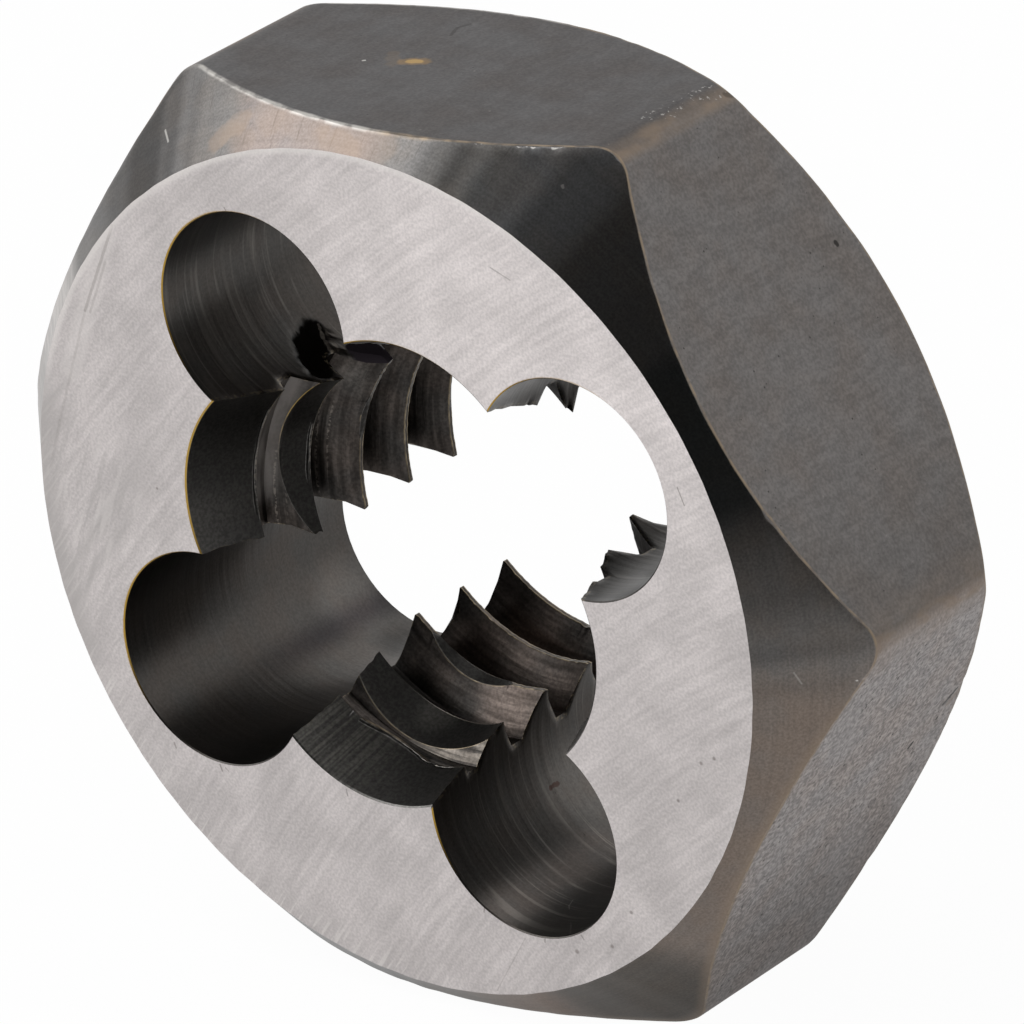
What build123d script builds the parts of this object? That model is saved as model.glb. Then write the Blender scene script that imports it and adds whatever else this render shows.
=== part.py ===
from build123d import *
import os
from math import ceil, floor, radians, sqrt, tan

# Hex rethreading die for a half-inch coarse thread: one piece of hardened steel.
# Lengths are in millimetres, angles in degrees. The die is worked out lying on its front face,
# with the thread axis along Z, and is then stood on one of its hexagon flats: the thread axis
# along Y, the front face towards -Y, and the origin on the floor under the middle of the body.

# Hexagon body, turned down at both ends to a cone and a round ground face
across_flats = 25.4
body_thickness = 9.525
corner_radius = 1.3
face_margin = 0.575
end_cone_angle = 45.0
edge_break = 0.12

# Thread: the phase is the height of a crest above the front face at angle zero
thread_pitch = 25.4 / 13
thread_angle = 60.0
thread_phase = 0.37
pitch_diameter = 11.78
crest_flat = 0.12
root_flat = 0.43

# Chip holes between the lands, each cutting some way into the circle of the thread's crests
land_count = 4
chip_hole_diameter = 6.24
chip_hole_breach = 0.6
chip_hole_turn = 60.0

# Lead of each land at the front face: a cone set off the axis, wider than the thread's roots
lead_angle = 19.1
lead_margin = 0.682
lead_offset = 2.69
lead_turn = 3.9

# Countersink of the thread at the back face
back_break = 0.3

# How far the cutters run past the metal that they remove
overrun = 1.0
groove_overrun = 0.1

flank_slope = tan(radians(thread_angle / 2))
pitch_radius = pitch_diameter / 2
crest_radius = pitch_radius - (thread_pitch / 2 - crest_flat) / 2 / flank_slope
root_radius = pitch_radius + (thread_pitch / 2 - root_flat) / 2 / flank_slope
land_step = 360 / land_count
rise_per_degree = thread_pitch / 360
standing_on_its_base = (Align.CENTER, Align.CENTER, Align.MIN)


def through_cutter(radius):
    """Straight round cutter that runs past both faces of the body."""
    height = body_thickness + 2 * overrun
    return Pos(0, 0, -overrun) * Cylinder(radius, height, align=standing_on_its_base)


def hexagon_body():
    """Hexagon bar with rounded corners, coned at both ends, with the edges of the cones broken."""
    hexagon = RegularPolygon(across_flats / 2, 6, major_radius=False)
    bar = extrude(fillet(hexagon.vertices(), corner_radius), body_thickness)
    face_radius = across_flats / 2 - face_margin
    blank_radius = across_flats / sqrt(3)
    cone_depth = (blank_radius - face_radius) * tan(radians(end_cone_angle))
    turned_section = Polyline(
        (0, 0),
        (face_radius, 0),
        (blank_radius, cone_depth),
        (blank_radius, body_thickness - cone_depth),
        (face_radius, body_thickness),
        (0, body_thickness),
        close=True,
    )
    body = bar & revolve(Plane.XZ * make_face(turned_section), Axis.Z)
    cones = body.faces().filter_by(GeomType.CONE)
    outer_edges = [
        edge
        for cone in cones
        for edge in cone.edges()
        if edge.geom_type not in (GeomType.CIRCLE, GeomType.LINE)
    ]
    return fillet(outer_edges, edge_break)


def chip_holes():
    """Drilled holes around the thread, each open to the bore along one side."""
    hole_radius = chip_hole_diameter / 2
    hole_circle_radius = crest_radius - chip_hole_breach + hole_radius
    places = PolarLocations(hole_circle_radius, land_count, start_angle=chip_hole_turn)
    return [place * through_cutter(hole_radius) for place in places]


def lead_cones():
    """Cones that open the thread at the front face, one set towards each land."""
    slope = tan(radians(lead_angle))
    mouth_radius = root_radius + lead_margin
    lead_depth = (mouth_radius - crest_radius) / slope
    cone_radius = mouth_radius - lead_offset
    cone = Cone(
        cone_radius + overrun * slope,
        crest_radius - lead_offset,
        overrun + lead_depth,
        align=standing_on_its_base,
    )
    first_land = chip_hole_turn + land_step / 2 + lead_turn
    places = PolarLocations(lead_offset, land_count, start_angle=first_land)
    return [place * Pos(0, 0, -overrun) * cone for place in places]


def back_countersink():
    """Cone of 45 degrees that takes the feather edge off the last thread."""
    cone = Cone(
        crest_radius,
        crest_radius + back_break + overrun,
        back_break + overrun,
        align=standing_on_its_base,
    )
    return Pos(0, 0, body_thickness - back_break) * cone


def groove_stretch():
    """Stretch of the thread's helical groove, from the middle of one chip hole to the next."""
    inner_radius = crest_radius - groove_overrun
    inner_half = thread_pitch / 4 + (pitch_radius - inner_radius) * flank_slope
    root_half = root_flat / 2
    section = Polyline(
        (inner_radius, -inner_half),
        (root_radius, -root_half),
        (root_radius, root_half),
        (inner_radius, inner_half),
        close=True,
    )
    path = Helix(thread_pitch, thread_pitch / land_count, pitch_radius)
    return sweep(Plane.XZ * make_face(section), path=path, is_frenet=True)


def thread_grooves():
    """Every stretch of groove that reaches into a land, turn by turn."""
    stretch = groove_stretch()
    grooves = []
    for land in range(land_count):
        start_angle = chip_hole_turn + land * land_step
        height = thread_phase + thread_pitch / 2 + rise_per_degree * start_angle
        first_turn = floor(-height / thread_pitch) - 1
        last_turn = ceil((body_thickness - height) / thread_pitch)
        for turn in range(first_turn, last_turn + 1):
            place = Pos(0, 0, height + turn * thread_pitch) * Rot(Z=start_angle)
            grooves.append(place * stretch)
    return grooves


def hex_die():
    """The die, lying on its front face."""
    blank = hexagon_body() - through_cutter(crest_radius) - chip_holes()
    opened = blank - lead_cones() - back_countersink()
    return opened - thread_grooves()


stand_up = Pos(0, -body_thickness / 2, across_flats / 2) * Rot(X=-90)
os.makedirs("parts", exist_ok=True)
export_step(stand_up * hex_die(), "parts/hex_die.step")
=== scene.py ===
from math import cos, floor, pi, radians, sin, sqrt, tan

import bpy
import numpy as np
from mathutils import Euler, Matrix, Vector


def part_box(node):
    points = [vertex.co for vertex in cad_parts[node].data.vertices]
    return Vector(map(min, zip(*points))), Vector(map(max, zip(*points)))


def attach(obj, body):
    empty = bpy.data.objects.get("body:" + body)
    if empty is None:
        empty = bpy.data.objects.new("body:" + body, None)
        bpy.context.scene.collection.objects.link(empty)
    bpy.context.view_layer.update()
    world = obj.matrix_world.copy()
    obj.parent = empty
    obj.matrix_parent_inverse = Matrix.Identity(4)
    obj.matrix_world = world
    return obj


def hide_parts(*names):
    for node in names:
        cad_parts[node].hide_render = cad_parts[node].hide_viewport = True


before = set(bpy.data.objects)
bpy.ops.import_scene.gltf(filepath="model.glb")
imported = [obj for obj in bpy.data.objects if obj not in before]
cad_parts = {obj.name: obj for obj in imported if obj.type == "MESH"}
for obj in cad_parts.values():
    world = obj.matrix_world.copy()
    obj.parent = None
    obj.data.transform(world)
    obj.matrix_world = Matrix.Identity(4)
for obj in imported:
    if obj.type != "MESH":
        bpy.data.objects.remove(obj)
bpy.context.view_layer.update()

# Blank: one slice of hexagon bar in alloy tool steel. Both ends are turned down to a 45 degree
# cone, the blank is hardened to a dark scale, and only its two round faces are ground bright.
# Lengths are in millimetres. Turns run clockwise from the right as seen from the front face.
mm = 0.001
node_low, node_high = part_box("hex_die")
across_flats = (node_high.z - node_low.z) / mm
thickness = (node_high.y - node_low.y) / mm
corner_rounding = 1.3
face_margin = 0.575
edge_break = 0.12
face_waver = 0.012
border_waver = 0.008

face_radius = across_flats / 2 - face_margin
corner_centre = (across_flats / 2 - corner_rounding) / cos(pi / 6)
corner_half_turn = np.arctan2(
    corner_rounding * sin(pi / 6), corner_centre + corner_rounding * cos(pi / 6)
)


def waver(turn, slowest, fastest, seed):
    """Uneven line round the axis, between -1 and 1: sines with whole numbers of waves a turn and
    seeded phases, added, scaled to a spread of one half, and kept inside by a hyperbolic tangent."""
    sines = 10
    chance = np.random.default_rng(seed)
    counts = chance.integers(slowest, fastest + 1, sines)
    phases = chance.uniform(0, 2 * pi, sines)
    waves = sum(np.sin(count * turn + phase) for count, phase in zip(counts, phases))
    return np.tanh(waves / sqrt(2 * sines))


def bell(away, half_width, power=2):
    """Bell curve: e to the minus of the distance in half widths, raised to an even power."""
    return np.exp(-((away / half_width) ** power))


def turn_from_corner(turn):
    """Turn to the nearest of the hexagon's six corners."""
    return np.abs((turn + pi / 6) % (pi / 3) - pi / 6)


def hexagon_radius(turn):
    """Distance from the axis to the hexagon's side: half the width across flats over the cosine of
    the turn from the flat's middle, and on a corner the far root of the circle round its centre."""
    from_corner = turn_from_corner(turn)
    on_flat = across_flats / 2 / np.cos(pi / 6 - from_corner)
    reach = np.clip(corner_rounding**2 - (corner_centre * np.sin(from_corner)) ** 2, 0, None)
    on_corner = corner_centre * np.cos(from_corner) + np.sqrt(reach)
    return np.where(from_corner < corner_half_turn, on_corner, on_flat)


def stand_up(radius, turn, depth):
    """Points of the standing die, in metres, from the distance to the axis, the turn, and the
    depth behind the front face."""
    right, above = radius * np.cos(turn), across_flats / 2 - radius * np.sin(turn)
    return mm * np.stack([right, depth - thickness / 2 + 0 * turn, above], axis=-1)


# Chip holes: four drilled holes round the thread, each open to the bore along one side, so that
# chips fall clear of the cutting edges. They keep the drill's rings and the dark hardening scale.
hole_count = 4
hole_step = 2 * pi / hole_count
hole_radius = 3.12
hole_circle = 7.667
first_hole = radians(60)
rim_break = 0.035
hole_columns = 60
tear_depth = 0.03
tear_fade = 0.4
tear_reach = 0.12
tear_seed = 60
torn_pocket = [
    ((-5.78, 4.58, 4.22), 0.40),
    ((-5.52, 4.10, 4.03), 0.48),
    ((-5.10, 3.80, 3.82), 0.45),
    ((-4.75, 3.60, 3.68), 0.36),
]
end_notches = [(2, 6.60, 0.20, 0.22), (4, 5.10, 0.42, 0.20), (3, 8.3, 0.25, 0.08)]


def rim_flare(depth):
    """How far a rim's broken edge stands out from its wall: as far as the place is nearer to a
    face than the width of the break, which makes 45 degrees."""
    to_face = np.minimum(depth, thickness - depth)
    return np.clip(rim_break - to_face, 0, None)


def end_tear(depth, end):
    """How far the tap tore a tooth's end back from the chip hole: an uneven line, with a bell-shaped
    notch here and there, that fades at the faces. The ends are counted round the die, two a hole."""
    tear = tear_depth * (1 + waver(2 * pi * depth / thickness, 8, 34, tear_seed + end))
    for notched, middle, half_width, deep in end_notches:
        if notched == end:
            tear = tear + deep * bell(depth - middle, half_width, 4)
    return tear * np.clip(depth / tear_fade, 0, 1) * np.clip((thickness - depth) / tear_fade, 0, 1)


def pocket_depth(turn, radius, depth):
    """How far the torn pocket of one chip hole goes behind its wall: upturned paraboloids about its
    middles, each half as deep as it is wide, and the deepest of them at each place."""
    place = np.stack([radius * np.cos(turn), depth, -radius * np.sin(turn)], -1)
    deep = np.zeros(depth.shape)
    for middle, reach in torn_pocket:
        away = np.linalg.norm(place - middle, axis=-1) / reach
        deep = np.maximum(deep, reach / 2 * (1 - away**2))
    return deep


def meeting_turn(radius, depth, torn=0.0):
    """Turn from a chip hole's middle to where its wall is at a distance from the die's axis, by
    the cosine rule."""
    wall = hole_radius + rim_flare(depth) + torn
    return np.arccos((radius**2 + hole_circle**2 - wall**2) / (2 * radius * hole_circle))


# Lands: the four toothed bridges between the chip holes. Each carries its share of a right-hand
# half-inch thread, cut with a tap, and a ground lead at the front that lets the die start on a rod.
pitch = 25.4 / 13
crest_phase = 0.37
crest_radius = 5.147
root_radius = 6.364
crest_flat = 0.12
root_flat = 0.43
lead_angle = radians(19.1)
lead_mouth = 7.046
lead_offset = 2.69
lead_turn = radians(3.9)
back_break = 0.3
thread_start = 0.3
thread_run_in = 3.0
land_columns = 118
turns_of_rows = 6
crest_rub = 0.015
crest_shift = 2.3
rub_seed = 40
tip_rub = 0.07
tip_reach = 0.11
crest_chips = [(104.1, 2, 0.10, 0.05), (97.0, 4, 0.12, 0.04), (20.0, 3, 0.15, 0.06)]
squeeze = 0.12
clear_of_rim = 0.06
walks = 8
first_guess = 0.4
crossing_margin = 0.04
root_share = 0.95

tooth_height = root_radius - crest_radius
flank_length = pitch / 2 - crest_flat / 2 - root_flat / 2
flank_slope = tooth_height / flank_length
land_middles = first_hole + hole_step * (np.arange(hole_count) + 0.5)
crest_meeting = meeting_turn(crest_radius, thickness / 2)


def crests_along(turn, depth):
    """Distance along the axis from the first crest, in pitches, of a helix one pitch deeper a turn."""
    return (depth - crest_phase) / pitch - turn / (2 * pi)


def thread_radius(turn, depth):
    """Distance from the axis to the thread: a flat crest, a straight flank and a flat root, by the
    distance along the axis from the nearest crest."""
    from_crest = np.abs((crests_along(turn, depth) + 0.5) % 1 - 0.5) * pitch
    return crest_radius + np.clip((from_crest - crest_flat / 2) * flank_slope, 0, tooth_height)


def lead_radius(turn, depth, land):
    """Distance from the axis to the lead: a cone set off the axis towards its land, met by a ray
    from the axis."""
    from_middle = turn - land_middles[land] - lead_turn
    cone = lead_mouth - lead_offset - depth * tan(lead_angle)
    reach = np.clip(cone**2 - (lead_offset * np.sin(from_middle)) ** 2, 0, None)
    return lead_offset * np.cos(from_middle) + np.sqrt(reach)


def crest_wear(turn, depth, land):
    """How far a crest is rubbed back: unevenly along the helix, more at the two tips, where a bell
    curve rounds it, and most in a few chips, given by turn, crest, half width and depth."""
    crest = np.round(crests_along(turn, depth))
    wear = crest_rub * (1 + waver(turn + crest_shift * crest, 40, 150, rub_seed))
    first_tip = first_hole + land * hole_step + crest_meeting
    to_tip = crest_radius * np.minimum(turn - first_tip, first_tip + hole_step - 2 * crest_meeting - turn)
    wear = wear + tip_rub * bell(np.clip(to_tip, 0, None), tip_reach)
    for middle, chipped, half_width, deep in crest_chips:
        chip = deep * bell(crest_radius * (turn - radians(middle)), half_width, 4)
        wear = wear + np.where(crest == chipped, chip, 0)
    return wear


def land_radius(turn, depth, land):
    """Distance from the axis to the land's metal: the widest of thread, lead and countersink, plus
    the broken rim. The thread runs in behind the front face and so leaves the lead's rim whole."""
    countersink = crest_radius + depth - (thickness - back_break)
    run_in = crest_radius + thread_run_in * np.clip(depth - thread_start, 0, None)
    thread = np.minimum(thread_radius(turn, depth), run_in)
    worn = np.maximum(thread, crest_radius + crest_wear(turn, depth, land))
    cut = np.maximum(worn, lead_radius(turn, depth, land))
    return np.maximum(cut, countersink) + rim_flare(depth)


def lead_share(turn, crest_depth, way, land):
    """Share of a flank, from crest to root, that the lead has taken off: found by stepping along
    the flank to where the lead has the flank's own radius."""
    share = np.full_like(turn, 0.5)
    for _ in range(walks):
        depth = crest_depth + way * (crest_flat / 2 + flank_length * share)
        reached = lead_radius(turn, depth, land) - crest_radius
        share = np.clip(reached / tooth_height, crossing_margin, 1 - crossing_margin)
    return share


def lead_end(turn, land):
    """Depth at which the lead has come in as far as the roots: where its cone's own radius is the
    distance from the cone's axis to a point of the root circle."""
    from_middle = turn - land_middles[land] - lead_turn
    right, across = root_radius - lead_offset * np.cos(from_middle), lead_offset * np.sin(from_middle)
    return (lead_mouth - lead_offset - np.hypot(right, across)) / tan(lead_angle)


# Rows of one pitch, from crest to crest: shares of the cut part and of the whole part of a flank
cut_shares = np.array([0.12, 0.55, 1, 1, 1])[:, None]
whole_shares = np.array([0, 0, 0, 0.35, 0.8])[:, None]
rows_a_pitch = 15
wall_rows = turns_of_rows * rows_a_pitch + 5


def row_depths(turn, land):
    """Depths of a land's rows at the given turns, one row of the array each. The rows follow the
    helix, with one on each edge of the thread and one where the lead crosses a flank, and are
    squeezed near the two faces."""
    last_turn = land_middles[land] + hole_step / 2
    before_rim = (clear_of_rim - crest_phase) / pitch - last_turn / (2 * pi)
    first_crest = crest_phase + pitch * floor(before_rim)
    body = turn[2:-2]
    crests = first_crest + pitch * body / (2 * pi)
    rows = np.empty_like(body)
    for number in range(turns_of_rows):
        block = slice(number * rows_a_pitch, (number + 1) * rows_a_pitch)
        at = body[block]
        crest = crests[block] + number * pitch
        next_crest = crest + pitch
        depths = crest.copy()
        depths[1] = crest[1] + crest_flat / 2
        share = lead_share(at[2:7], crest[2:7], 1, land)
        taken = cut_shares * share + whole_shares * (1 - share)
        depths[2:7] = crest[2:7] + crest_flat / 2 + flank_length * taken
        root_start = crest[7] + (pitch - root_flat) / 2
        root_end = root_start + root_share * root_flat
        depths[7] = np.clip(lead_end(at[7], land), root_start, root_end)
        depths[8] = crest[8] + (pitch + root_flat) / 2
        share = lead_share(at[9:14], next_crest[9:14], -1, land)
        taken = cut_shares[::-1] * share + whole_shares[::-1] * (1 - share)
        depths[9:14] = next_crest[9:14] - crest_flat / 2 - flank_length * taken
        depths[14] = next_crest[14] - crest_flat / 2
        rows[block] = depths
    rows[-1] = crests[-1] + turns_of_rows * pitch
    near, far = clear_of_rim + squeeze, thickness - clear_of_rim - squeeze
    front = clear_of_rim + squeeze * (rows - rows[0]) / (near - rows[0])
    back = far + squeeze * (rows - far) / (rows[-1] - far)
    depth = np.empty_like(turn)
    depth[:2] = [[0], [rim_break]]
    depth[2:-2] = np.where(rows < near, front, np.where(rows > far, back, rows))
    depth[-2:] = [[thickness - rim_break], [thickness]]
    return depth


def crowded(even, crowding):
    """Even shares from 0 to 1, drawn towards both ends: blended with half a wave of a cosine."""
    return (1 - crowding) * even + crowding * (1 - np.cos(pi * even)) / 2


def land_grid(land):
    """Turns, depths and distances from the axis of one land, from chip hole to chip hole. Its ends
    are found by walking each row to where the land and the hole's wall are as far from the axis."""
    hole_before = first_hole + land * hole_step

    def land_ends(meeting):
        return hole_before + np.stack([meeting[:, 0], hole_step - meeting[:, 1]], 1)

    ends = land_ends(np.full((wall_rows, 2), first_guess))
    for _ in range(walks):
        depth = row_depths(ends, land)
        radius = land_radius(ends, depth, land)
        whole = land_ends(meeting_turn(radius, depth))
        numbers = 2 * land + 1, 2 * (land + 1) % (2 * hole_count)
        tears = [end_tear(depth[:, side], number) for side, number in enumerate(numbers)]
        torn = np.stack(tears, 1) + pocket_depth(whole, radius, depth)
        ends = land_ends(meeting_turn(radius, depth, torn))
    across = crowded(np.linspace(0, 1, land_columns), 0.5)
    turn = ends[:, :1] + across * (ends[:, 1:] - ends[:, :1])
    depth = row_depths(turn, land)
    return turn, depth, land_radius(turn, depth, land)


def on_hole(round_hole, wall):
    """Turn from the hole's middle and distance from the die's axis, of a point of the hole's wall
    at an angle about the hole's own axis: the angle's cosine and sine, led out by the hole circle."""
    outward, sideways = hole_circle + wall * np.cos(round_hole), wall * np.sin(round_hole)
    return np.arctan2(sideways, outward), np.hypot(outward, sideways)


def hole_grid(hole, end_of_last, start_of_next):
    """Turns, depths and distances from the axis of a chip hole's wall: an arc from the end of the
    land before it to the start of the land after it, with the depths eased from one to the other.
    Tears at the two ends die out over a bell curve."""
    middle = first_hole + hole * hole_step
    shares = crowded(np.linspace(0, 1, hole_columns + 2)[1:-1], 0.55)
    before, after = (
        np.arctan2(radius * np.sin(turn - middle), radius * np.cos(turn - middle) - hole_circle)[:, None]
        for turn, depth, radius in (end_of_last, start_of_next)
    )
    round_hole = before + shares * (after - before)
    depth = end_of_last[1][:, None] + shares * (start_of_next[1] - end_of_last[1])[:, None]
    wall = hole_radius + rim_flare(depth)
    turn, radius = on_hole(round_hole, wall)
    wall = wall + pocket_depth(middle + turn, radius, depth)
    for from_end, end in ((round_hole - before, 2 * hole), (after - round_hole, 2 * hole + 1)):
        wall = wall + end_tear(depth, end) * bell(hole_radius * from_end, tear_reach)
    turn, radius = on_hole(round_hole, wall)
    return middle + turn, depth, radius


lands = [land_grid(land) for land in range(hole_count)]
wall_parts = []
for number in range(hole_count):
    ending = [part[:, -1] for part in lands[number - 1]]
    if number == 0:
        ending[0] = ending[0] - 2 * pi
    beginning = [part[:, 0] for part in lands[number]]
    wall_parts += [hole_grid(number, ending, beginning), lands[number]]
wall_turn, wall_depth, wall_radius = (np.concatenate(parts, axis=1) for parts in zip(*wall_parts))
is_hole = np.tile(np.repeat([True, False], [hole_columns, land_columns]), hole_count)
columns = len(is_hole)


def run_along(points):
    """Distance run down each column of points, from its first one."""
    steps = np.linalg.norm(np.diff(points, axis=0), axis=-1) / mm
    return np.concatenate([np.zeros((1, points.shape[1])), np.cumsum(steps, axis=0)])


def crease_distance(points, crease):
    """Distance along each column of points to the nearest point marked as a crease, both ways."""
    before_all, after_all = -9, 99
    run = run_along(points)
    last = np.maximum.accumulate(np.where(crease, run, before_all), axis=0)
    coming = np.minimum.accumulate(np.where(crease, run, after_all)[::-1], axis=0)[::-1]
    return np.minimum(run - last, coming - run)


# How far the wall's points are from an edge of the thread or the lead, from the ends of their own
# hole or land, and how far the lead stands outside the thread
crest_edge_rows, crossing_rows, lead_end_row = (1, 14), (4, 11), 7
crest_left, at_lead_border = 0.03, 0.002
off_crest, off_root = 0.08, 0.04
wall_points = stand_up(wall_radius, wall_turn, wall_depth)
wall_lead = np.full(wall_radius.shape, -1.0)
wall_side = np.empty(wall_radius.shape)
start = 0
for number, (turn, depth, radius) in enumerate(wall_parts):
    part = slice(start, start + turn.shape[1])
    start = part.stop
    if number % 2:
        wall_lead[:, part] = lead_radius(turn, depth, number // 2) - thread_radius(turn, depth)
    run = run_along(wall_points[:, part].swapaxes(0, 1)).T
    wall_side[:, part] = np.minimum(run, run[:, -1:] - run)
row_kind = np.zeros(wall_rows, int)
row_kind[2:-2] = np.arange(wall_rows - 4) % rows_a_pitch
crests = np.isin(row_kind, crest_edge_rows)[:, None] & (wall_lead < crest_left)
wide = wall_radius - rim_flare(wall_depth)
on_flank = (wide > crest_radius + off_crest) & (wide < root_radius - off_root)
crossings = np.isin(row_kind, crossing_rows)[:, None] & on_flank
crossings |= (row_kind == lead_end_row)[:, None] & (np.abs(wall_lead) < at_lead_border)
inside = np.zeros((wall_rows, 1), bool)
inside[2:-2] = True
wall_edge = crease_distance(wall_points, (crests | crossings) & inside & ~is_hole)


# Outside of the body: round face, cone, hexagon side, cone and round face, as rows that run
# right round. More columns stand at the six corners than along the flats.
def outer_turns():
    """Turn of each column on the outside. The ends of the lands are led apart by a few degrees, and
    between them the columns are shared out by a weight that is largest at the corners."""
    corner_weight, corner_spread, lean, samples = 4.0, radians(3), radians(30), 2000
    turns = []
    for number in range(hole_count):
        hole = first_hole + number * hole_step
        for first, last, count in (
            (hole - lean, hole + lean, hole_columns),
            (hole + lean, hole + hole_step - lean, land_columns),
        ):
            fine = np.linspace(first, last, samples)
            weight = 1 + corner_weight * bell(turn_from_corner(fine), corner_spread)
            summed = np.cumsum(weight) / weight.sum()
            turns.append(np.interp((np.arange(count) + 0.5) / count, summed, fine))
    return np.concatenate(turns)


outer_turn = outer_turns()
left_rub = 0.004
left_rub_turn = 0.04
left_corner = pi
side_radius = hexagon_radius(outer_turn) - left_rub * bell(outer_turn - left_corner, left_rub_turn)
rounding_run = edge_break * tan(radians(22.5))
corner_wear = 0.12
corner_wear_turn = radians(12)
face_seed, back_seed, width_seed, border_seed = 5, 6, 20, 10
front_chips = [
    (286.2, 0.10, 0.05),
    (290.9, 0.13, 0.09),
    (292.3, 0.10, 0.07),
    (294.4, 0.14, 0.08),
    (300.5, 0.12, 0.06),
    (342.9, 0.10, 0.08),
    (356.5, 0.10, 0.05),
    (363.5, 0.12, 0.08),
    (257.0, 0.10, 0.05),
    (262.5, 0.12, 0.05),
]
back_chips = [
    (48.7, 0.20, 0.12),
    (377.9, 0.16, 0.10),
    (60.0, 0.20, 0.06),
    (340.0, 0.20, 0.06),
    (303.0, 0.15, 0.07),
]
face_shares = np.array([0.004, 0.03, 0.12, 0.35, 0.65, 0.9])[:, None]
cone_shares = np.array([0, 0.03, 0.12, 0.3, 0.5, 0.7, 0.88])[:, None]
rounding_angles = np.radians([0, 15, 30, 45])[:, None]
side_shares = np.array([0.02, 0.06, 0.15, 0.3, 0.5, 0.7, 0.85, 0.94, 0.98])[:, None]


def face_edge(front):
    """Distance from the axis to the round edge of a face, with its small unevenness."""
    return face_radius + face_waver * waver(outer_turn, 3, 90, face_seed if front else back_seed)


def face_rows(rim, front):
    """Rows of a flat face from the round edge in to the opening's rim, on straight lines."""
    edge = stand_up(face_edge(front), outer_turn, 0 if front else thickness)
    return rim + (edge - rim) * face_shares[..., None]


def cone_rows(front):
    """Rows from the round face out along the 45 degree cone and round the broken edge, in distance
    from the axis and depth. The edge is an arc that touches the cone and the hexagon's side, wider
    where it is chipped. The left corner of the front is worn a little steeper."""
    seed = face_seed if front else back_seed
    inner = face_edge(front)
    width = rounding_run * (1 + 0.5 * waver(outer_turn, 20, 160, seed + width_seed))
    for middle, half_width, deep in front_chips if front else back_chips:
        width = width + deep * bell(side_radius * (outer_turn - radians(middle)), half_width)
    rounding = width / tan(radians(22.5))
    steeper = corner_wear * bell(outer_turn - left_corner, corner_wear_turn) if front else 0
    uneven = border_waver * waver(outer_turn, 4, 36, seed + border_seed)
    corner_depth = (side_radius - inner) * (1 + steeper) + uneven
    on_cone = 1 - width * sqrt(0.5) / (side_radius - inner)
    cone_radius = inner + (side_radius - inner) * on_cone * cone_shares
    cone_depth = corner_depth * on_cone * cone_shares
    arc_radius = side_radius - rounding * (1 - np.sin(radians(45) + rounding_angles))
    arc_depth = corner_depth + width - rounding * np.cos(radians(45) + rounding_angles)
    return np.concatenate([cone_radius, arc_radius]), np.concatenate([cone_depth, arc_depth])


front_radius, front_depth = cone_rows(True)
back_radius, back_depth = cone_rows(False)
back_depth = thickness - back_depth
side_depth = front_depth[-1] + side_shares * (back_depth[-1] - front_depth[-1])
side_rows = np.broadcast_to(side_radius, side_depth.shape)
outer_radius = np.concatenate([front_radius, side_rows, back_radius[::-1]])
outer_depth = np.concatenate([front_depth, side_depth, back_depth[::-1]])
outer_points = stand_up(outer_radius, np.broadcast_to(outer_turn, outer_radius.shape), outer_depth)
front_face = face_rows(wall_points[0], True)
back_face = face_rows(wall_points[-1], False)

# The four surfaces close into one ring: down the wall, out over the back face, forward along the
# outside and in over the front face
ring = np.concatenate([wall_points, back_face, outer_points[::-1], front_face[::-1]])
ring_rows = len(ring)
border_rows = np.zeros((len(outer_points), 1), bool)
border_rows[len(front_depth) - 2] = border_rows[-len(back_depth) + 1] = True
outer_edge = crease_distance(outer_points, np.broadcast_to(border_rows, outer_radius.shape))
from_corner = side_radius * np.sin(turn_from_corner(outer_turn))
outer_side = np.broadcast_to(from_corner, outer_radius.shape)
back_to_rim, front_to_rim = (
    np.linalg.norm(face - rim, axis=-1) / mm
    for face, rim in ((back_face, wall_points[-1]), (front_face, wall_points[0]))
)
far_away = np.full(back_to_rim.shape, 9.0)

# Across the helix, for the marks of the tap, and how far a front rim lies to the upper left of its
# hole or of the bore
upper_left = radians(222)
wall_thread = wall_depth - pitch * wall_turn / (2 * pi)
outside = np.zeros((ring_rows - wall_rows, columns))
rim_turn = wall_turn[0].copy()
for number in range(hole_count):
    first = number * (hole_columns + land_columns)
    part = slice(first, first + hole_columns)
    middle = first_hole + number * hole_step
    right = wall_radius[0, part] * np.cos(wall_turn[0, part]) - hole_circle * cos(middle)
    down = wall_radius[0, part] * np.sin(wall_turn[0, part]) - hole_circle * sin(middle)
    rim_turn[part] = np.arctan2(down, right)
rim_attribute = np.zeros((ring_rows, columns))
rim_attribute[:2] = rim_attribute[-len(front_face) :] = np.cos(rim_turn - upper_left)
attribute_values = {
    "edge": np.concatenate([wall_edge, back_to_rim, outer_edge[::-1], front_to_rim[::-1]]),
    "side": np.concatenate([wall_side, far_away, outer_side[::-1], far_away]),
    "thread": np.concatenate([wall_thread, outside]),
    "lead": np.concatenate([wall_lead, outside - 1]),
    "rim": rim_attribute,
}

# Which finish each strip of the ring has: 0 ground face, 1 turned cone, 2 hexagon flat, 3 chip
# hole wall, 4 thread land
strip_finish = np.zeros((ring_rows, columns), int)
strip_finish[: wall_rows - 1] = np.where(is_hole | np.roll(is_hole, -1), 3, 4)
outside_start = wall_rows + len(back_face)
outside_end = outside_start + len(outer_points) - 1
strip_finish[outside_start:outside_end] = 2
strip_finish[outside_start : outside_start + len(back_depth) - 3] = 1
strip_finish[outside_end - len(front_depth) + 3 : outside_end] = 1
sharp_angle = radians(32)


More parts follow.
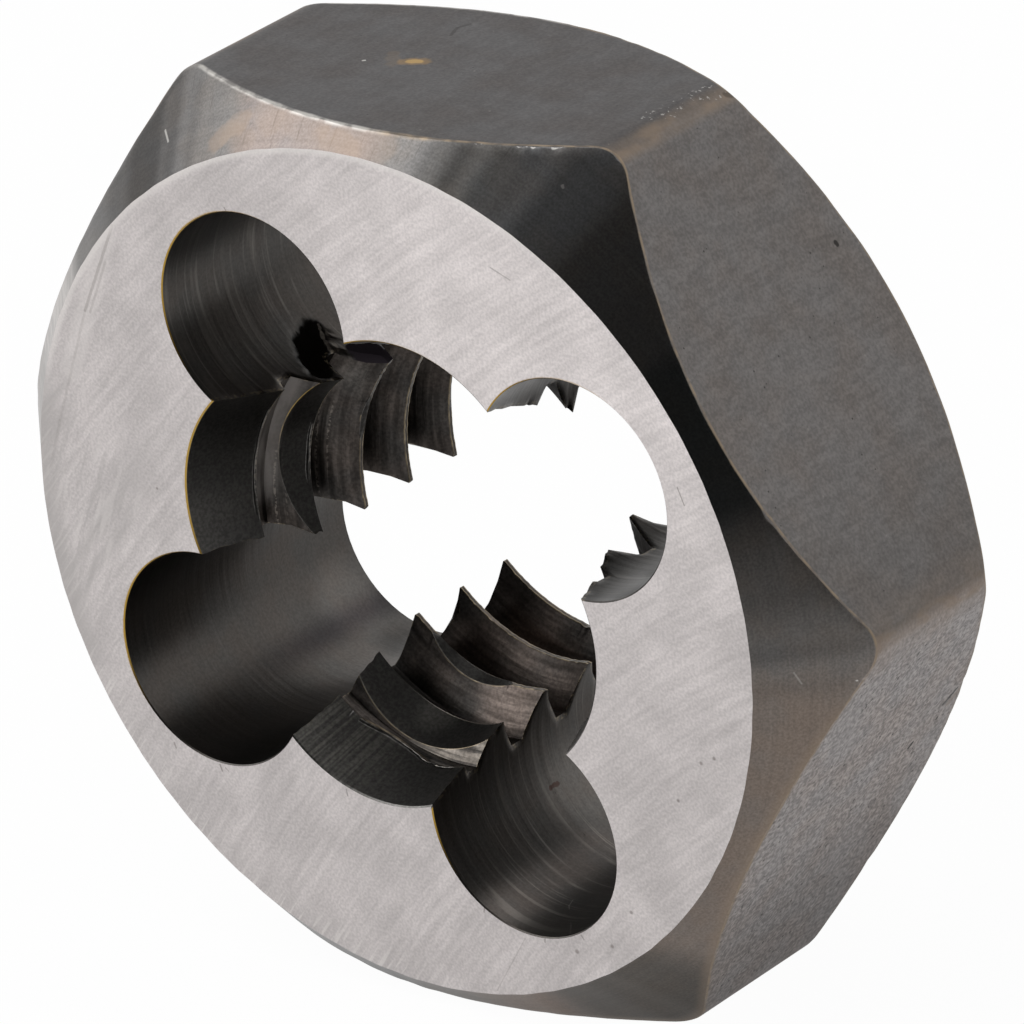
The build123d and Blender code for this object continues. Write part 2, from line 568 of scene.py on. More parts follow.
def ring_mesh(name, points):
    """Mesh of a grid of points that closes on itself both ways, one four-sided face a cell."""
    rows, count = points.shape[:2]
    index = np.arange(rows * count).reshape(rows, count)
    below, beside = np.roll(index, -1, axis=0), np.roll(index, -1, axis=1)
    across = np.roll(below, -1, axis=1)
    faces = np.stack([index, below, across, beside], axis=-1).reshape(-1, 4)
    mesh = bpy.data.meshes.new(name)
    mesh.from_pydata(points.reshape(-1, 3), [], faces)
    return mesh


def put_in_scene(name, data):
    """Object of a mesh, a lamp or a camera, put in the scene."""
    thing = bpy.data.objects.new(name, data)
    bpy.context.scene.collection.objects.link(thing)
    return thing


die_mesh = ring_mesh("hex_die_steel", ring)
for name, values in attribute_values.items():
    attribute = die_mesh.attributes.new(name, "FLOAT", "POINT")
    attribute.data.foreach_set("value", values.astype(np.float32).ravel())
die_mesh.polygons.foreach_set("material_index", strip_finish.astype(np.int32).ravel())
die_mesh.polygons.foreach_set("use_smooth", np.ones(strip_finish.size, bool))
die_mesh.set_sharp_from_angle(angle=sharp_angle)
die_mesh.update()
die = put_in_scene("hex_die_steel", die_mesh)
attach(die, "root")
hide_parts("hex_die")


# Ground faces: the two round ends, ground bright on a rotary grinder whose wheel leaves wide
# arcs across the face. Handling has left hairlines and specks, and the left edge is worn in streaks.
def give(tree, value, socket):
    """Set an input socket to a value, or link another socket to it."""
    if isinstance(value, bpy.types.NodeSocket):
        tree.links.new(value, socket)
    else:
        socket.default_value = value


def add_node(tree, kind, inputs=(), **settings):
    """New shader node of a kind, with its settings, and its inputs by the socket's name or number."""
    node = tree.nodes.new("ShaderNode" + kind)
    for name, value in settings.items():
        setattr(node, name, value)
    for key, value in dict(inputs).items():
        give(tree, value, node.inputs[key])
    return node


class Finish:
    """Material of one finish of the steel. Paint, tint and shade change its colour so far, give and
    complete set the shader, and the others add nodes and hand back the socket with the result. A
    value may be a number, a vector, a colour or a socket. Places are in millimetres: right of the
    axis, behind the front face, above the axis."""

    def __init__(self, name, roughness, metallic=1.0):
        material = bpy.data.materials.new(name)
        material.use_nodes = True
        self.tree = material.node_tree
        self.shader = self.tree.nodes["Principled BSDF"]
        self.give("Roughness", roughness)
        self.give("Metallic", metallic)
        millimetres = {"Scale": (1 / mm,) * 3, "Location": (0, thickness / 2, -across_flats / 2)}
        object_place = self.node("TexCoord").outputs["Object"]
        self.place = self.node("Mapping", {"Vector": object_place, **millimetres}).outputs[0]
        right, self.depth, self.above = self.node("SeparateXYZ", {0: self.place}).outputs
        self.outward = self.vector("NORMALIZE", self.combine(right, 0.0, self.above))
        self.noises = {}
        self.colour = None
        die_mesh.materials.append(material)

    def give(self, name, value):
        """Set an input of the shader, or link a socket to it."""
        give(self.tree, value, self.shader.inputs[name])

    def node(self, kind, inputs=(), **settings):
        return add_node(self.tree, kind, inputs, **settings)

    def math(self, operation, *values):
        return self.node("Math", enumerate(values), operation=operation).outputs[0]

    def vector(self, operation, *values):
        return self.node("VectorMath", enumerate(values), operation=operation).outputs[0]

    def length(self, operation, *values):
        """Number that comes of vectors, such as a length, a distance or a dot product."""
        return self.node("VectorMath", enumerate(values), operation=operation).outputs["Value"]

    def combine(self, *parts):
        return self.node("CombineXYZ", enumerate(parts)).outputs[0]

    def attribute(self, name):
        return self.node("Attribute", attribute_name=name).outputs["Fac"]

    def chain(self, operation, values):
        """One operation on a row of values: on the first two, then on the result and the next."""
        result = values[0]
        for value in values[1:]:
            result = self.math(operation, result, value)
        return result

    def times(self, *values):
        """Product of all the values."""
        return self.chain("MULTIPLY", values)

    def scaled(self, *factors):
        """Place times a factor for each of its three parts."""
        return self.vector("MULTIPLY", self.place, factors)

    def stretched(self, across, deep):
        """Place drawn out across the die and along its axis, for grain that follows a turned
        surface: the outward direction times a factor, plus a depth."""
        outward = self.vector("MULTIPLY", self.outward, (across,) * 3)
        return self.vector("ADD", outward, self.combine(0.0, deep, 0.0))

    def noise(self, place, per_mm, detail=2.0):
        """Noise from 0 to 1 at a place. Marks that ask for the same noise share one node."""
        asked = (place.node.name, place.identifier, per_mm, detail)
        if asked not in self.noises:
            inputs = {"Vector": place, "Scale": per_mm, "Detail": detail}
            self.noises[asked] = self.node("TexNoise", inputs).outputs[0]
        return self.noises[asked]

    def uneven(self, away, ragged, per_mm, detail=2.0):
        """Distance plus a noise that swings it by half of the raggedness either way."""
        swing = self.math("SUBTRACT", self.noise(self.place, per_mm, detail), 0.5)
        return self.math("ADD", away, self.times(swing, ragged))

    def ramp(self, value, start, end, low=0.0, high=1.0):
        """Eases from low to high while the value goes from start to end, and stays level outside."""
        inputs = {0: value, 1: start, 2: end, 3: low, 4: high}
        return self.node("MapRange", inputs, interpolation_type="SMOOTHSTEP").outputs[0]

    def line(self, value, middle, half_width):
        """1 where a value is near a middle one, 0 past half a width from it."""
        away = self.math("ABSOLUTE", self.math("SUBTRACT", value, middle))
        return self.ramp(away, half_width, half_width * 0.4)

    def facing(self, turn, wide, soft):
        """1 where the outside faces within a number of degrees of a turn, eased over a few more, by
        the cosine of the angle between the two."""
        towards = (cos(radians(turn)), 0, -sin(radians(turn)))
        match = self.length("DOT_PRODUCT", self.outward, towards)
        return self.ramp(match, cos(radians(wide + soft)), cos(radians(wide)))

    def spot(self, point, reach, ragged=0.0, per_mm=3.0):
        """1 near a point, falling to 0 at its reach, with an edge made ragged by noise."""
        away = self.length("DISTANCE", self.place, point)
        away = self.uneven(away, ragged, per_mm) if ragged else away
        return self.ramp(away, reach, reach * 0.3)

    def blot(self, balls, ragged, per_mm, soft):
        """1 inside a ragged blot made of balls, each a point and its reach, and 0 outside: the least
        distance to any of the balls, eased."""
        away = []
        for point, reach in balls:
            away.append(self.math("SUBTRACT", self.length("DISTANCE", self.place, point), reach))
        return self.ramp(self.uneven(self.chain("MINIMUM", away), ragged, per_mm, 3.0), soft, -soft)

    def cell_spots(self, per_mm, rarity, size, soft, hard):
        """1 in round spots strewn over the cells of a foam, each with a reach of its cell's chance
        above the rarity, times a size."""
        cells = self.node("TexVoronoi", {"Vector": self.place, "Scale": per_mm}, feature="F1").outputs
        chance = self.node("SeparateXYZ", {0: cells["Color"]}).outputs[0]
        reach = self.times(self.math("SUBTRACT", chance, rarity), size)
        return self.ramp(self.math("SUBTRACT", cells["Distance"], reach), soft, hard)

    def scratch(self, start, end, width, ragged=0.0, per_mm=4.0, core=0.25):
        """1 along a straight line between two points, out to the core's share of its width, and 0
        past half its width, by the distance from the nearest point of the line."""
        line = Vector(end) - Vector(start)
        beside = self.vector("SUBTRACT", self.place, start)
        along = {0: self.length("DOT_PRODUCT", beside, tuple(line)), 1: 1 / line.length_squared}
        share = self.node("Math", along, operation="MULTIPLY", use_clamp=True).outputs[0]
        nearest = self.node("VectorMath", {0: tuple(line), "Scale": share}, operation="SCALE").outputs[0]
        away = self.length("DISTANCE", beside, nearest)
        away = self.uneven(away, ragged, per_mm) if ragged else away
        return self.ramp(away, width / 2, width * core)

    def blend(self, share, first, second):
        """Colour mixed from the first towards the second by a share."""
        inputs = {0: share}
        for key, colour in ((6, first), (7, second)):
            inputs[key] = (*colour, 1) if isinstance(colour, tuple) else colour
        return self.node("Mix", inputs, data_type="RGBA").outputs[2]

    def shaded(self, colour, amount, value, low=0.3, high=0.7):
        """Colour times a grey from 1 - amount to 1 + amount as a noise goes from low to high."""
        grey = self.ramp(value, low, high, 1 - amount, 1 + amount)
        return self.vector("MULTIPLY", colour, self.combine(grey, grey, grey))

    def shade(self, *how):
        """Shade the colour so far by an amount and a noise, and its low and high if given."""
        self.colour = self.shaded(self.colour, *how)

    def paint(self, tone, *shares):
        """Blend the colour so far towards a tone, by the product of the shares."""
        self.colour = self.blend(self.times(*shares), self.colour, tone)

    def tint(self, factors, *shares):
        """Multiply the colour so far by three factors, to the extent of the product of the shares."""
        self.paint(self.vector("MULTIPLY", self.colour, factors), *shares)

    def complete(self, height, rise):
        """Join the colour, and the bump from a height map with its rise in millimetres."""
        self.give("Base Color", self.colour)
        inputs = {"Height": height, "Distance": rise * mm, "Strength": 1.0}
        self.give("Normal", self.node("Bump", inputs).outputs[0])


wheel_centre = (37.0, 0.0, -40.0)
face_steel = (0.60, 0.560, 0.552)
face_worn = (0.46, 0.435, 0.425)
face_bright = (0.74, 0.70, 0.68)
face_burr_and_glint = (0.86, 0.82, 0.79)
face_grime = (0.17, 0.145, 0.13)
rim_straw = (0.55, 0.34, 0.05)
painted_light_spot = ((6.4, 0, 8.4), 11.5)
streaked_side = ((-12.6, 0, 0.8), 6.0)
rubbed_side = ((-12.1, 0, -0.2), 4.6)
rubbed_strip = ((-8.75, 0, 8.25), (-10.6, 0, 4.0), 0.9, 0.1, 2.0)
face_scratches = [
    ((4.64, 0, 9.77), (5.27, 0, 9.53), 0.05, 0.45),
    ((10.22, 0, 4.64), (10.40, 0, 4.16), 0.05, 0.55),
    ((3.53, 0, -9.94), (2.35, 0, -11.78), 0.05, 0.22),
    ((-4.38, 0, 9.85), (-4.30, 0, 9.70), 0.05, 0.6),
    ((-8.47, 0, 8.60), (-9.82, 0, 5.87), 0.12, 0.30),
    ((-9.82, 0, 5.87), (-11.22, 0, 2.36), 0.11, 0.14),
    ((-11.22, 0, 2.36), (-11.81, 0, 0.75), 0.13, 0.16),
    ((-8.88, 0, 7.45), (-9.64, 0, 5.85), 0.10, 0.20),
    ((-8.39, 0, -6.73), (-8.34, 0, -6.88), 0.07, 0.5),
    ((-6.79, 0, -7.04), (-6.73, 0, -7.22), 0.07, 0.55),
    ((-6.60, 0, -7.10), (-6.50, 0, -7.18), 0.05, 0.4),
    ((-2.29, 0, -6.80), (-2.26, 0, -6.98), 0.06, 0.5),
    ((2.22, 0, -9.30), (2.17, 0, -9.46), 0.07, 0.5),
    ((4.23, 0, -9.75), (4.21, 0, -9.89), 0.06, 0.5),
    ((5.50, 0, -9.38), (5.58, 0, -9.49), 0.06, 0.5),
]
face_specks = [
    ((5.30, 0, -9.91), 0.10),
    ((6.54, 0, -9.47), 0.09),
    ((10.17, 0, -3.27), 0.08),
    ((10.62, 0, -3.03), 0.08),
    ((9.28, 0, -4.55), 0.07),
    ((7.31, 0, -8.28), 0.08),
    ((-7.94, 0, 0.99), 0.06),
]

face = Finish("ground_face", 0.4)
on_face = face.scaled(1, 0, 1)
from_axis = face.length("LENGTH", on_face)
wheel_radius = face.length("DISTANCE", on_face, wheel_centre)
from_wheel = face.vector("SUBTRACT", on_face, wheel_centre)
wheel_right, _, wheel_above = face.node("SeparateXYZ", {0: from_wheel}).outputs
along_arc = face.times(face.math("ARCTAN2", wheel_above, wheel_right), 4.0)
grinding = face.noise(face.combine(wheel_radius, along_arc, face.depth), 5.0, 4.0)
wide_arcs = face.combine(face.times(wheel_radius, 1.6), along_arc, face.depth)
short_arcs = face.combine(wheel_radius, face.times(along_arc, 0.8), face.depth)
mottle = face.noise(face.place, 0.55, 4.0)
face.colour = face_steel
# Painted light: the upper right of the face is made lighter, as if more lit there
face.tint((1.4, 1.4, 1.4), face.spot(*painted_light_spot), 0.55)
face.shade(0.07, grinding)
face.shade(0.07, mottle, 0.35, 0.65)
face.shade(0.10, face.noise(face.place, 12.0, 3.0))
worn_arcs = face.ramp(face.noise(wide_arcs, 1.0, 3.0), 0.46, 0.62)
face.paint(face_worn, face.spot(*streaked_side), worn_arcs, 0.6)
across_rub = face.times(face.length("DOT_PRODUCT", on_face, (0.92, 0, -0.39)), 3.5)
along_rub = face.times(face.length("DOT_PRODUCT", on_face, (0.39, 0, 0.92)), 0.35)
rub_lines = face.noise(face.combine(across_rub, along_rub, 0.0), 1.0, 3.0)
rubbed_left = face.spot(*rubbed_side)
face.paint(face_worn, rubbed_left, face.ramp(rub_lines, 0.50, 0.62), 0.6)
face.paint(face_bright, rubbed_left, face.ramp(rub_lines, 0.46, 0.36), 0.4)
face.paint(face_bright, face.scratch(*rubbed_strip), 0.35)
for start, end, width, share in face_scratches:
    face.paint(face_grime, face.scratch(start, end, width), share)
for point, reach in face_specks:
    face.paint(face_grime, face.spot(point, reach), 0.6)
# Painted highlight: a pale glint along the upper left edge of the face; the same pale tone marks burrs at
# the lower left
glint = face.ramp(from_axis, face_radius - 0.25, face_radius - 0.04)
face.paint(face_burr_and_glint, glint, face.facing(-110, 42, 20), 0.55)
burred = face.ramp(from_axis, face_radius - 1.0, face_radius - 0.1)
burred = face.times(burred, face.facing(142, 44, 14))
face.paint(face_burr_and_glint, burred, face.ramp(face.noise(short_arcs, 9.0, 3.0), 0.53, 0.64), 0.5)
face.paint(face_worn, burred, 0.22)
left_rim = face.ramp(from_axis, face_radius - 0.9, face_radius - 0.1)
face.paint(face_worn, left_rim, face.facing(-183, 16, 8), 0.6)
rim = face.times(face.ramp(face.attribute("edge"), 0.04, 0.008), face.ramp(face.attribute("rim"), 0.1, 0.6))
face.paint(rim_straw, rim, face.ramp(face.noise(face.place, 2.5, 3.0), 0.35, 0.6, 0.4, 1.0), 0.8)
face.give("Roughness", face.ramp(mottle, 0.3, 0.7, 0.38, 0.44))
face.complete(grinding, 0.0010)

# Turned cones: the 45 degree ends of the bar, left dark from hardening over fine lathe lines.
# Scale has worn off along the border with the flats, and heat has tinted it straw and orange.
cone_scale = (0.150, 0.145, 0.142)
cone_rust = (0.158, 0.146, 0.137)
cone_bare = (0.31, 0.285, 0.265)
cone_polished = (0.50, 0.47, 0.45)
cone_streak = (0.07, 0.06, 0.055)
whitish = (0.50, 0.48, 0.45)
heat_straw = (0.235, 0.178, 0.136)
bronze = (0.27, 0.205, 0.15)
straw = (0.30, 0.235, 0.165)
bright_steel = (0.62, 0.60, 0.57)
heat_tints = [
    ((-3.98, 0.66, 12.14), (-4.74, 0.36, 11.56), 0.84, 0.42),
    ((-4.20, 0.42, 11.80), (-3.60, 0.20, 11.85), 1.00, 0.18),
    ((-0.76, 0.30, 12.40), (0.15, 0.10, 12.22), 1.00, 0.34),
    ((-0.10, 0.35, 12.45), (1.00, 0.30, 12.38), 1.40, 0.22),
    ((-2.30, 0.70, 12.62), (-1.20, 0.30, 12.38), 1.40, 0.16),
    ((-3.30, 0.80, 12.45), (-2.90, 0.60, 12.35), 1.20, 0.20),
]
cone_light_and_shade = [
    (-112, 3, 4, (0.85, 0.84, 0.83)),
    (-97, 9, 5, (1.24, 1.13, 1.10)),
    (-73, 1, 6, (0.62, 0.62, 0.61)),
    (-64, 5, 4, (1.4, 1.45, 1.5)),
    (-29, 8, 4, (0.58, 0.63, 0.64)),
    (-9, 4, 5, (1.42, 1.38, 1.34)),
    (60, 6, 8, (0.46, 0.48, 0.48)),
    (42, 34, 10, (1.16, 1.02, 0.92)),
    (80, 8, 6, (0.98, 0.88, 0.82)),
]
cone_scratches = [
    ((-7.22, 1.15, 11.14), (-6.88, 0.84, 10.99), 0.09, 0.9),
    ((12.90, 0.79, -0.40), (13.02, 0.92, -0.74), 0.06, 0.22),
]
cone_nicks = [
    ((3.66, 1.12, 12.72), 0.06),
    ((3.78, 1.16, 12.70), 0.05),
    ((4.80, 1.45, 12.70), 0.08),
    ((4.97, 1.52, 12.68), 0.05),
    ((5.16, 1.56, 12.66), 0.07),
    ((5.70, 1.80, 12.66), 0.09),
    ((5.86, 1.88, 12.64), 0.05),
    ((6.25, 1.28, 11.86), 0.05),
    ((12.50, 0.97, 3.90), 0.07),
    ((12.56, 1.00, 3.72), 0.08),
    ((14.04, 1.94, -0.86), 0.03),
]


def worn_border(finish, width, top_width, core, least):
    """Paint the border of cone and flat, where the scale has worn off. It is straw, but wider and whitish
    along the top flat, which is partly a painted highlight, and broken by noise down to a least share."""
    width = finish.ramp(finish.facing(-103, 20, 8), 0.0, 1.0, width, top_width)
    tone = finish.blend(finish.facing(-105, 15, 6), straw, whitish)
    broken = finish.ramp(finish.noise(finish.place, 2.2, 3.0), 0.4, 0.6, least, 0.9)
    finish.paint(tone, finish.ramp(finish.attribute("edge"), width, core), broken)


cone = Finish("turned_cone", 0.28)
lathe_lines = cone.noise(cone.stretched(0.8, cone.times(cone.depth, 16.0)), 1.0, 3.0)
brushed = cone.noise(cone.stretched(150.0, cone.times(cone.depth, 1.2)), 1.0, 2.0)
fine = cone.noise(cone.place, 15.0, 3.0)
cone.colour = cone_scale
cone.paint(cone_rust, cone.ramp(cone.noise(cone.place, 0.8, 3.0), 0.35, 0.65))
cone.shade(0.06, lathe_lines)
cone.shade(0.14, fine)
# Painted light and shade: each band of the cone made lighter or darker by the way it faces, standing in for
# what it mirrors, and warmer low on the right
for turn, wide, soft, factors in cone_light_and_shade:
    cone.tint(factors, cone.facing(turn, wide, soft))
cone.paint(cone_streak, cone.facing(-95, 20, 14), cone.ramp(brushed, 0.62, 0.75), 0.45)
for start, end, width, share in heat_tints:
    cone.paint(heat_straw, cone.scratch(start, end, width, 0.5, 2.2), share)
bare = cone.blend(cone.facing(-152, 6, 6), cone_bare, cone_polished)
bare = cone.shaded(bare, 0.12, brushed, 0.35, 0.65)
cone.paint(bare, cone.facing(-180, 31, 5), cone.ramp(brushed, 0.2, 0.6, 0.8, 1.0))
for start, end, width, share in cone_scratches:
    cone.paint(bright_steel, cone.scratch(start, end, width), share)
cone.paint(bronze, cone.ramp(cone.attribute("edge"), 0.45, 0.0), cone.facing(38, 27, 8), 0.42)
worn_border(cone, 0.07, 0.15, 0.015, 0.25)
cone.paint(bright_steel, cone.blot(cone_nicks, 0.14, 9.0, 0.02), 0.9)
cone.complete(cone.math("ADD", lathe_lines, cone.times(fine, 0.2)), 0.0015)

# Hexagon flats: the cold drawn sides of the bar, dark grey and dull, with a fine grain and small
# pits. The corners are worn to a bronze colour where the scale has rubbed away.
flat_scale = (0.105, 0.102, 0.101)
flat_rust = (0.112, 0.104, 0.099)
flat_dark = (0.02, 0.018, 0.016)
flat_bare = (0.30, 0.25, 0.215)
stain = (0.33, 0.20, 0.07)
stain_core = (0.46, 0.30, 0.10)
flat_light_and_shade = [(-90, (0.77, 0.75, 0.76)), (-30, (1.56, 1.51, 1.48)), (30, (2.10, 2.01, 1.99))]
flat_marks = [
    ((-2.45, 5.20, 12.7), (-1.95, 4.60, 12.7), 0.50, 0.50, 0.10, stain),
    ((-1.72, 4.83, 12.7), (-1.32, 5.05, 12.7), 0.60, 0.25, 0.45, stain),
    ((-1.63, 4.89, 12.7), (-1.40, 5.02, 12.7), 0.32, 0.24, 0.80, stain_core),
    ((-2.84, 4.42, 12.7), (-2.82, 4.44, 12.7), 0.12, 0.04, 0.75, bright_steel),
    ((-1.83, 6.90, 12.7), (-2.02, 7.42, 12.7), 0.14, 0.08, 0.60, flat_dark),
    ((-2.02, 7.42, 12.7), (-1.86, 7.78, 12.7), 0.14, 0.08, 0.60, flat_dark),
    ((7.28, 7.04, 12.48), (7.34, 7.14, 12.46), 0.26, 0.10, 0.50, flat_dark),
    ((9.80, 7.93, 8.42), (9.84, 7.96, 8.36), 0.18, 0.08, 0.90, flat_dark),
    ((11.45, 7.18, -5.58), (11.50, 7.25, -5.48), 0.20, 0.08, 0.90, flat_dark),
    ((12.00, 8.35, -4.62), (12.20, 8.70, -4.28), 0.36, 0.16, 0.60, flat_bare),
    ((12.05, 8.05, -4.53), (12.25, 8.45, -4.18), 0.14, 0.06, 0.80, flat_dark),
]
struck_side = ((6.75, 4.6, 12.68), (7.10, 7.7, 12.60), 1.0)

flat = Finish("hexagon_flat", 0.55, 0.7)
patches = flat.noise(flat.place, 0.6, 4.0)
fine = flat.noise(flat.place, 11.0, 3.0)
lower_right, upper_right = flat.facing(30, 29, 2), flat.facing(-30, 29, 2)
pitted_side = flat.facing(30, 24, 8)
flat.colour = flat_scale
flat.paint(flat_rust, flat.ramp(patches, 0.35, 0.7))
# Painted light and shade: each flat made lighter or darker by which way it faces
for turn, factors in flat_light_and_shade:
    flat.tint(factors, flat.facing(turn, 29, 2))
# Painted light: the lower right flat made lighter towards its top
flat.tint((2.0, 2.0, 2.0), lower_right, flat.ramp(flat.above, -10.5, -6.0, 0.0, 0.50))
flat.shade(0.15, fine)
flat.shade(0.07, flat.noise(flat.scaled(5.0, 0.9, 5.0), 1.0, 3.0))
flat.shade(0.06, flat.noise(flat.place, 2.6, 4.0))
# Painted shade: the upper right flat made darker towards its bottom
flat.paint(flat_dark, upper_right, flat.ramp(flat.above, 5.0, 1.0, 0.0, 0.15))
speckled = flat.shaded(flat.colour, 0.28, flat.noise(flat.place, 8.0, 4.0), 0.35, 0.65)
flat.paint(speckled, pitted_side)
pits = flat.cell_spots(4.2, flat.ramp(pitted_side, 0.0, 1.0, 0.78, 0.62), 0.5, 0.05, -0.03)
crowding = flat.ramp(flat.noise(flat.place, 0.8, 2.0), 0.38, 0.60, 0.75, 0.66)
pocks = flat.ramp(flat.math("SUBTRACT", flat.noise(flat.place, 6.0, 2.0), crowding), 0.0, 0.04)
pits = flat.math("MAXIMUM", pits, flat.times(pocks, pitted_side))
flat.paint(flat_dark, pits, 0.75)
right_corner = flat.ramp(flat.attribute("side"), 1.2, 0.2)
right_corner = flat.times(right_corner, flat.facing(-3, 12, 5), 0.38)
corner = flat.math("MAXIMUM", flat.ramp(flat.attribute("side"), 0.48, 0.10), right_corner)
rubbed = flat.ramp(flat.noise(flat.scaled(1.0, 0.5, 1.0), 1.7, 4.0), 0.40, 0.62, 0.45, 1.0)
flat.paint(bronze, corner, rubbed, 0.7)
flat.paint(bronze, flat.ramp(flat.attribute("edge"), 0.30, 0.0), lower_right, 0.22)
worn_border(flat, 0.06, 0.12, 0.01, 0.3)
for start, end, width, ragged, share, tone in flat_marks:
    flat.paint(tone, flat.scratch(start, end, width, ragged), share)
struck = flat.scratch(*struck_side)
peppered = flat.noise(flat.place, 7.5, 2.0)
peppered = flat.ramp(peppered, flat.ramp(struck, 0.0, 1.0, 0.80, 0.58), 0.84)
flat.paint(bright_steel, struck, flat.ramp(peppered, 0.0, 0.3), 0.5)
flat.paint(cone_bare, flat.cell_spots(2.3, 0.72, 0.34, 0.04, -0.02), 0.35)
flat.give("Roughness", flat.ramp(patches, 0.3, 0.7, 0.5, 0.6))
flat.complete(flat.math("SUBTRACT", flat.times(fine, 0.35), pits), 0.006)

# Chip hole walls: drilled, so fine rings run round them where the lips of the drill chattered, then
# darkened by hardening. A torn pocket is left where one hole breaks out beside a tooth, and the shade in it
# is painted very dark.
hole_scale = (0.070, 0.066, 0.062)
hole_rust = (0.074, 0.066, 0.060)
hole_ring = (0.19, 0.178, 0.162)
pocket_painted_shade = (0.007, 0.006, 0.005)
hollow_painted_shade = (0.036, 0.030, 0.036)
burnt_spot = (0.05, 0.02, 0.015)
torn_metal = (0.26, 0.25, 0.23)
tooth_edge = (0.30, 0.25, 0.17)
torn_shred = (0.20, 0.18, 0.155)
drill_dark = (0.02, 0.018, 0.017)
hole_light_and_shade = [
    ((-5.9, 6.6, -6.6), 4.5, 1.45),
    ((3.6, 3.2, -9.6), 3.6, 0.54),
    ((-4.5, 5.5, 3.6), 1.1, 0.22),
    ((7.1, 0.1, 0.8), 1.3, 0.50),
    ((1.2, 5.6, -8.3), 1.9, 1.8),
    ((-8.9, 8.4, -5.9), 1.6, 1.55),
    ((-6.9, 8.5, -7.0), 1.3, 0.50),
]
hole_gleam = ((2.57, 0.1, -9.49), (2.57, 4.9, -9.49), 2.0)
hole_shade_streak = ((-8.60, 3.2, -6.24), (-8.50, 9.4, -6.34), 1.7)
hole_marks = [
    ((3.45, 2.35, -9.70), (3.60, 1.85, -9.75), 0.05, 0.03, 0.30, torn_metal),
    ((3.60, 1.85, -9.75), (4.48, 0.82, -9.69), 0.05, 0.03, 0.35, torn_metal),
    ((4.48, 0.82, -9.69), (4.95, 0.20, -9.55), 0.06, 0.03, 0.50, torn_metal),
    ((1.09, 4.68, -8.13), (2.05, 4.63, -9.20), 0.05, 0.03, 0.55, drill_dark),
    ((1.02, 4.58, -7.98), (1.02, 4.92, -7.98), 0.17, 0.22, 0.65, burnt_spot),
    ((-5.90, 4.93, 4.30), (-5.77, 4.87, 4.13), 0.13, 0.14, 0.60, torn_shred),
    ((-5.77, 4.87, 4.13), (-5.66, 4.81, 3.99), 0.13, 0.14, 0.70, torn_shred),
    ((-5.66, 4.81, 3.99), (-5.42, 4.64, 3.95), 0.13, 0.14, 0.70, torn_shred),
    ((-5.42, 4.64, 3.95), (-5.17, 4.55, 3.74), 0.13, 0.14, 0.80, torn_shred),
    ((-5.71, 5.02, 4.14), (-5.41, 4.84, 3.94), 0.12, 0.16, 0.50, torn_shred),
    ((-5.41, 4.84, 3.94), (-5.13, 4.77, 3.75), 0.12, 0.16, 0.60, torn_shred),
]
shaded_hollow_balls = [((-4.92, 5.14, 3.72), 0.22), ((-4.56, 5.38, 3.56), 0.46), ((-4.15, 5.52, 3.50), 0.34)]
# Balls of the painted shade in the torn pocket, a little wider than the pocket itself
pocket_shade_balls = [(point, reach + 0.07) for point, reach in torn_pocket]
pocket_mouth = ((-4.5, 5.3, 3.5), 1.2)


def edges_of_opening(finish):
    """Paint the two edges that hole walls and lands share: the teeth's ends, rubbed here and there
    but dark beside the torn pocket, and the straw tinted front rims."""
    lip = finish.ramp(finish.attribute("side"), 0.03, 0.01)
    rubbed = finish.ramp(finish.noise(finish.place, 9.0), 0.45, 0.62)
    beside_pocket = finish.ramp(finish.spot(*pocket_mouth), 0.0, 0.4, 0.4, 0.0)
    finish.paint(tooth_edge, lip, rubbed, beside_pocket)
    rim = finish.ramp(finish.depth, 0.045, 0.02)
    finish.paint(rim_straw, rim, finish.ramp(finish.attribute("rim"), 0.1, 0.5), 0.8)


hole = Finish("chip_hole_wall", 0.33)
rings = hole.noise(hole.vector("ADD", hole.scaled(0.10, 3.4, 0.10), (3.0, 0.0, 8.0)), 1.0, 3.0)
ring_waver = hole.times(hole.noise(hole.scaled(0.05, 0.9, 0.05), 1.0, 2.0), 16.0)
ring_phase = hole.math("ADD", hole.times(hole.depth, 11.5), ring_waver)
ring_fade = hole.ramp(hole.noise(hole.scaled(0.6, 1.2, 0.6), 1.0, 2.0), 0.38, 0.62, 0.1, 1.0)
hairlines = hole.noise(hole.scaled(0.3, 9.0, 0.3), 1.0, 2.0)
patches = hole.noise(hole.place, 0.7, 4.0)
fine = hole.noise(hole.place, 12.0, 3.0)
ringed = hole.ramp(hole.facing(150, 26, 6), 0.0, 1.0, 1.0, 0.10)
hole.colour = hole_scale
hole.paint(hole_rust, hole.ramp(patches, 0.35, 0.65))
# Painted light and shade: the walls made lighter or darker by place
for point, reach, factor in hole_light_and_shade:
    hole.tint((factor,) * 3, hole.spot(point, reach))
hole.shade(0.11, fine)
hole.paint(hole_ring, hole.ramp(rings, 0.58, 0.68), hole.ramp(patches, 0.4, 0.6, 0.2, 1.0), ringed, 0.26)
hole.paint(hole_ring, hole.ramp(hairlines, 0.60, 0.70), hole.ramp(patches, 0.6, 0.4), ringed, 0.30)
hole.paint(hole_ring, hole.ramp(hole.math("SINE", ring_phase), 0.86, 0.99), ring_fade, ringed, 0.34)
# Painted highlight: a bright band along one hole's axis, where its wall mirrors the light
hole.tint((1.75, 1.68, 1.66), hole.scratch(*hole_gleam, core=0.05))
# Painted shade: a dark streak along another hole's axis, darker with depth
hole.tint((0.50, 0.49, 0.53), hole.scratch(*hole_shade_streak, core=0.0), hole.ramp(hole.depth, 2.6, 6.5))
